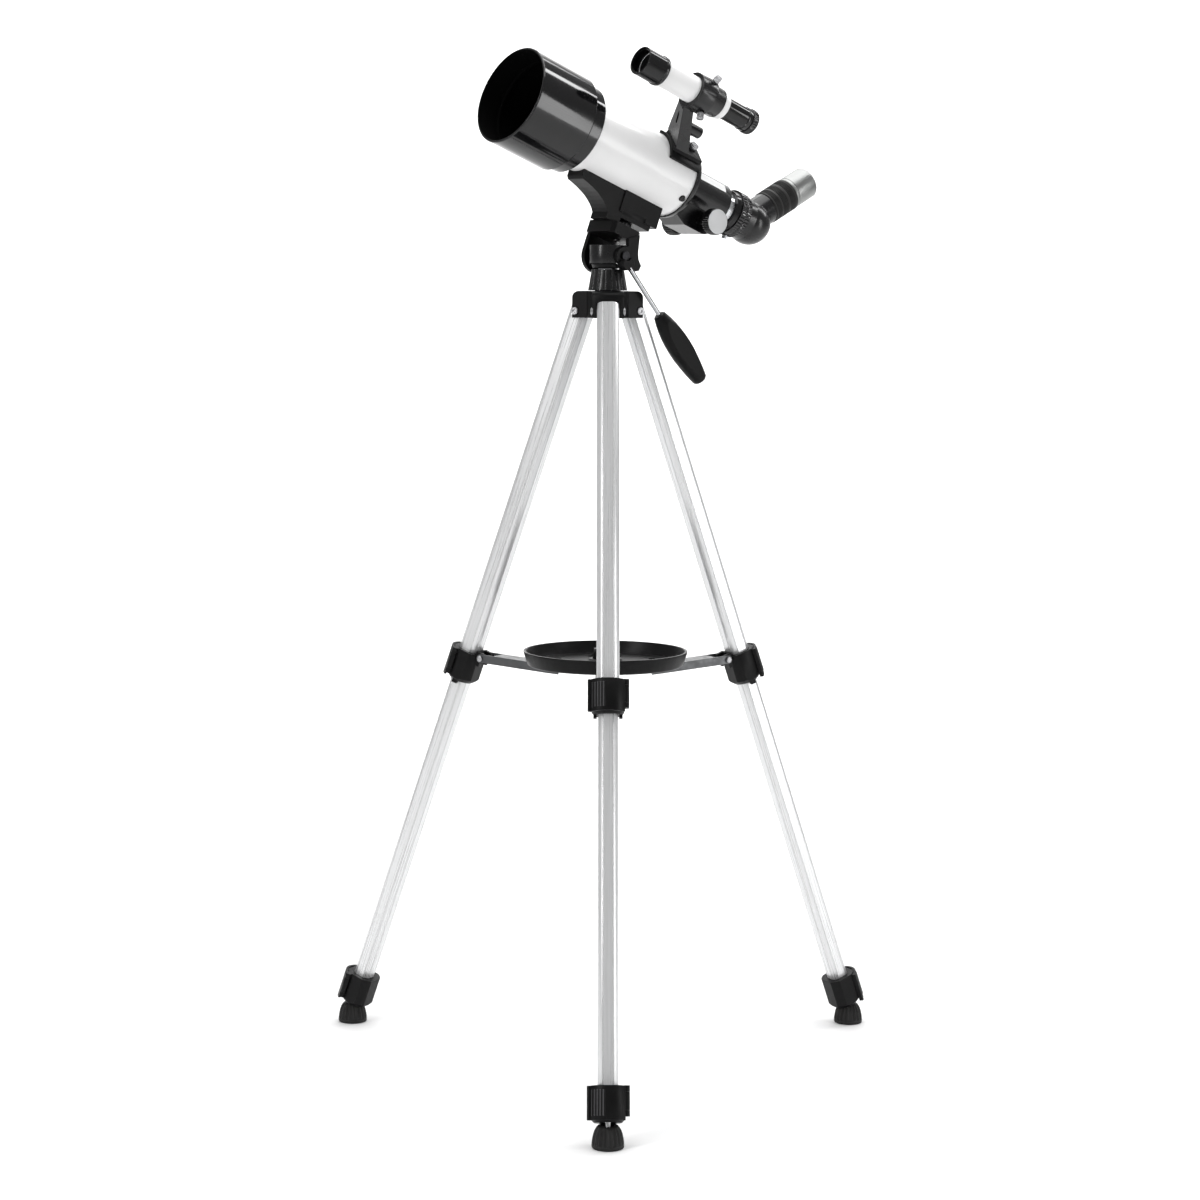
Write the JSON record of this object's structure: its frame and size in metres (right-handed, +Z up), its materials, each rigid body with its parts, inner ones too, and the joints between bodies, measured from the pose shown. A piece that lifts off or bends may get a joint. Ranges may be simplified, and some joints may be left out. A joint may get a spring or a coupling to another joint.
{
  "type": "telescope on tripod",
  "caption": "Small refracting telescope with a finder and diagonal eyepiece, on a pan and tilt head over a folding tripod with a tray.",
  "frame": {"origin": "middle of the whole object's box, at the level of the three feet", "axes": "+Z up along the tripod's column, one leg towards -Y, the telescope pointing to -X and -Y"},
  "size_m": [0.5218, 0.4585, 0.9408],
  "materials": {
    "white_tube": "gloss white paint",
    "gloss_black": "glossy moulded black",
    "satin_black": "satin moulded black with a fine grain",
    "leg_aluminium": "satin anodised extrusion",
    "chrome": "polished chrome",
    "knurled_steel": "turned and knurled",
    "spreader_steel": "folded zinc-plated strip",
    "rubber": "matte black rubber",
    "eyepiece_silver": "satin silver",
    "lens_glass": "coated glass"
  },
  "bodies": {
    "crown": {"tripod_crown": "satin_black", "leg_pivot_screws": "chrome"},
    "front_leg_upper": {"front_upper_tube": "leg_aluminium", "front_upper_clamp": "satin_black"},
    "front_leg_middle": {"front_middle_tube": "leg_aluminium", "front_lower_clamp": "satin_black"},
    "front_leg_lower": {"front_lower_tube": "leg_aluminium"},
    "front_upper_flip": {"front_upper_lever": "satin_black"},
    "front_lower_flip": {"front_lower_lever": "satin_black"},
    "front_foot_pad": {"front_foot": "rubber"},
    "front_arm": {"front_spreader_arm": "spreader_steel"},
    "right_leg_upper": {"right_upper_tube": "leg_aluminium", "right_upper_clamp": "satin_black"},
    "right_leg_middle": {"right_middle_tube": "leg_aluminium", "right_lower_clamp": "satin_black"},
    "right_leg_lower": {"right_lower_tube": "leg_aluminium"},
    "right_upper_flip": {"right_upper_lever": "satin_black"},
    "right_lower_flip": {"right_lower_lever": "satin_black"},
    "right_foot_pad": {"right_foot": "rubber"},
    "right_arm": {"right_spreader_arm": "spreader_steel"},
    "left_leg_upper": {"left_upper_tube": "leg_aluminium", "left_upper_clamp": "satin_black"},
    "left_leg_middle": {"left_middle_tube": "leg_aluminium", "left_lower_clamp": "satin_black"},
    "left_leg_lower": {"left_lower_tube": "leg_aluminium"},
    "left_upper_flip": {"left_upper_lever": "satin_black"},
    "left_lower_flip": {"left_lower_lever": "satin_black"},
    "left_foot_pad": {"left_foot": "rubber"},
    "left_arm": {"left_spreader_arm": "spreader_steel"},
    "spreader": {"spreader_hub": "satin_black", "accessory_tray": "satin_black"},
    "tray_screw": {"tray_knob": "satin_black"},
    "lock_nut": {"column_lock_nut": "satin_black"},
    "column": {"center_column": "chrome", "pan_base": "satin_black"},
    "pan_head": {"pan_barrel": "satin_black"},
    "telescope": {"tilt_yoke": "satin_black", "tilt_bolt": "knurled_steel", "saddle": "satin_black", "main_tube": "white_tube", "dew_shield": "gloss_black", "objective_cell": "gloss_black", "objective_lens": "lens_glass", "focuser_body": "gloss_black", "finder_tube": "white_tube", "finder_hood": "satin_black", "finder_bracket": "satin_black", "finder_shoe": "satin_black", "finder_hardware": "knurled_steel"},
    "handle": {"handle_rod": "chrome", "handle_grip": "satin_black"},
    "saddle_screw": {"camera_screw": "satin_black"},
    "draw": {"draw_tube": "chrome", "draw_collar": "gloss_black"},
    "focus_pinion": {"focus_shaft": "chrome", "focus_knobs": "gloss_black"},
    "diagonal": {"diagonal_body": "gloss_black", "eyepiece_grip": "rubber"},
    "ocular": {"eyepiece": "eyepiece_silver"},
    "finder_focus": {"finder_eyepiece": "gloss_black"}
  },
  "joints": [
    {"name": "front_leg_fold", "type": "hinge", "parent": "crown", "child": "front_leg_upper", "pos_m": [0, 0.0425, 0.70467], "axis": [1, 0, 0], "range_deg": [0, 5]},
    {"name": "front_middle_slide", "type": "slide", "parent": "front_leg_upper", "child": "front_leg_middle", "axis": [0, -0.3486, -0.9373], "range_m": [-0.31, 0]},
    {"name": "front_lower_slide", "type": "slide", "parent": "front_leg_middle", "child": "front_leg_lower", "axis": [0, -0.3486, -0.9373], "range_m": [0, 0.29]},
    {"name": "front_upper_lever_flip", "type": "hinge", "parent": "front_leg_upper", "child": "front_upper_flip", "pos_m": [0.0156, -0.09048, 0.37003], "axis": [0, 0.3486, 0.9373], "range_deg": [0, 100]},
    {"name": "front_lower_lever_flip", "type": "hinge", "parent": "front_leg_middle", "child": "front_lower_flip", "pos_m": [0.0156, -0.21458, 0.03636], "axis": [0, 0.3486, 0.9373], "range_deg": [0, 100]},
    {"name": "front_foot_swivel", "type": "hinge", "parent": "front_leg_lower", "child": "front_foot_pad", "pos_m": [0, -0.2151, 0.012], "axis": [1, 0, 0], "range_deg": [-20, 2]},
    {"name": "front_arm_pivot", "type": "hinge", "parent": "front_leg_upper", "child": "front_arm", "pos_m": [0, -0.06161, 0.37423], "axis": [1, 0, 0], "range_deg": [0, 42.73]},
    {"name": "right_leg_fold", "type": "hinge", "parent": "crown", "child": "right_leg_upper", "pos_m": [0.02304, 0.0824, 0.70467], "axis": [-0.5, 0.866, 0], "range_deg": [0, 5]},
    {"name": "right_middle_slide", "type": "slide", "parent": "right_leg_upper", "child": "right_leg_middle", "axis": [0.3019, 0.1743, -0.9373], "range_m": [-0.31, 0]},
    {"name": "right_lower_slide", "type": "slide", "parent": "right_leg_middle", "child": "right_leg_lower", "axis": [0.3019, 0.1743, -0.9373], "range_m": [0, 0.29]},
    {"name": "right_upper_lever_flip", "type": "hinge", "parent": "right_leg_upper", "child": "right_upper_flip", "pos_m": [0.1304, 0.1624, 0.37003], "axis": [-0.3019, -0.1743, 0.9373], "range_deg": [0, 100]},
    {"name": "right_lower_lever_flip", "type": "hinge", "parent": "right_leg_middle", "child": "right_lower_flip", "pos_m": [0.23787, 0.22445, 0.03636], "axis": [-0.3019, -0.1743, 0.9373], "range_deg": [0, 100]},
    {"name": "right_foot_swivel", "type": "hinge", "parent": "right_leg_lower", "child": "right_foot_pad", "pos_m": [0.24612, 0.2112, 0.012], "axis": [-0.5, 0.866, 0], "range_deg": [-20, 2]},
    {"name": "right_arm_pivot", "type": "hinge", "parent": "right_leg_upper", "child": "right_arm", "pos_m": [0.1132, 0.13445, 0.37423], "axis": [-0.5, 0.866, 0], "range_deg": [0, 42.73]},
    {"name": "left_leg_fold", "type": "hinge", "parent": "crown", "child": "left_leg_upper", "pos_m": [-0.02304, 0.0824, 0.70467], "axis": [-0.5, -0.866, 0], "range_deg": [0, 5]},
    {"name": "left_middle_slide", "type": "slide", "parent": "left_leg_upper", "child": "left_leg_middle", "axis": [-0.3019, 0.1743, -0.9373], "range_m": [-0.31, 0]},
    {"name": "left_lower_slide", "type": "slide", "parent": "left_leg_middle", "child": "left_leg_lower", "axis": [-0.3019, 0.1743, -0.9373], "range_m": [0, 0.29]},
    {"name": "left_upper_lever_flip", "type": "hinge", "parent": "left_leg_upper", "child": "left_upper_flip", "pos_m": [-0.146, 0.13538, 0.37003], "axis": [0.3019, -0.1743, 0.9373], "range_deg": [0, 100]},
    {"name": "left_lower_lever_flip", "type": "hinge", "parent": "left_leg_middle", "child": "left_lower_flip", "pos_m": [-0.25347, 0.19743, 0.03636], "axis": [0.3019, -0.1743, 0.9373], "range_deg": [0, 100]},
    {"name": "left_foot_swivel", "type": "hinge", "parent": "left_leg_lower", "child": "left_foot_pad", "pos_m": [-0.24612, 0.2112, 0.012], "axis": [-0.5, -0.866, 0], "range_deg": [-20, 2]},
    {"name": "left_arm_pivot", "type": "hinge", "parent": "left_leg_upper", "child": "left_arm", "pos_m": [-0.1132, 0.13445, 0.37423], "axis": [-0.5, -0.866, 0], "range_deg": [0, 42.73]},
    {"name": "spreader_lift", "type": "slide", "parent": "crown", "child": "spreader", "axis": [0, 0, 1], "range_m": [0, 0.0735]},
    {"name": "tray_knob_turn", "type": "hinge", "parent": "spreader", "child": "tray_screw", "pos_m": [0, 0.0691, 0.384], "axis": [0, 0, 1], "continuous": true},
    {"name": "lock_nut_turn", "type": "hinge", "parent": "crown", "child": "lock_nut", "pos_m": [0, 0.0691, 0.733], "axis": [0, 0, 1], "range_deg": [0, 180]},
    {"name": "column_slide", "type": "slide", "parent": "crown", "child": "column", "axis": [0, 0, 1], "range_m": [0, 0.16]},
    {"name": "pan", "type": "hinge", "parent": "column", "child": "pan_head", "pos_m": [0, 0.0691, 0.75], "axis": [0, 0, 1], "continuous": true},
    {"name": "tilt", "type": "hinge", "parent": "pan_head", "child": "telescope", "pos_m": [0.00159, 0.07032, 0.755], "axis": [-0.6074, 0.7944, 0], "range_deg": [-40, 5]},
    {"name": "handle_twist", "type": "hinge", "parent": "telescope", "child": "handle", "pos_m": [0.01712, 0.05198, 0.748], "axis": [0.5053, 0.3863, -0.7716], "range_deg": [-90, 90]},
    {"name": "saddle_screw_turn", "type": "hinge", "parent": "telescope", "child": "saddle_screw", "pos_m": [0.01249, 0.07865, 0.78312], "axis": [0.286, 0.2187, 0.933], "continuous": true},
    {"name": "draw_slide", "type": "slide", "parent": "telescope", "child": "draw", "axis": [0.7412, 0.5667, -0.36], "range_m": [-0.006, 0.04]},
    {"name": "focus_turn", "type": "hinge", "parent": "telescope", "child": "focus_pinion", "pos_m": [0.08193, 0.13174, 0.78744], "axis": [-0.6074, 0.7944, 0], "range_deg": [-70, 420]},
    {"name": "diagonal_turn", "type": "hinge", "parent": "draw", "child": "diagonal", "pos_m": [0.126, 0.16543, 0.7923], "axis": [-0.7412, -0.5667, 0.36], "continuous": true},
    {"name": "eyepiece_slide", "type": "slide", "parent": "diagonal", "child": "ocular", "axis": [0.7091, 0.5421, 0.4509], "range_m": [0, 0.02]},
    {"name": "finder_focus", "type": "slide", "parent": "telescope", "child": "finder_focus", "axis": [0.7412, 0.5667, -0.36], "range_m": [0, 0.006]}
  ],
  "couplings": [
    {"joint": "front_arm_pivot", "follows": "front_leg_fold", "ratio": 8.4252},
    {"joint": "right_leg_fold", "follows": "front_leg_fold", "ratio": 1},
    {"joint": "right_arm_pivot", "follows": "front_leg_fold", "ratio": 8.4252},
    {"joint": "left_leg_fold", "follows": "front_leg_fold", "ratio": 1},
    {"joint": "left_arm_pivot", "follows": "front_leg_fold", "ratio": 8.4252},
    {"joint": "spreader_lift", "follows": "front_leg_fold", "m_per_rad": 0.83111},
    {"joint": "focus_turn", "follows": "draw_slide", "rad_per_m": 178.57}
  ]
}
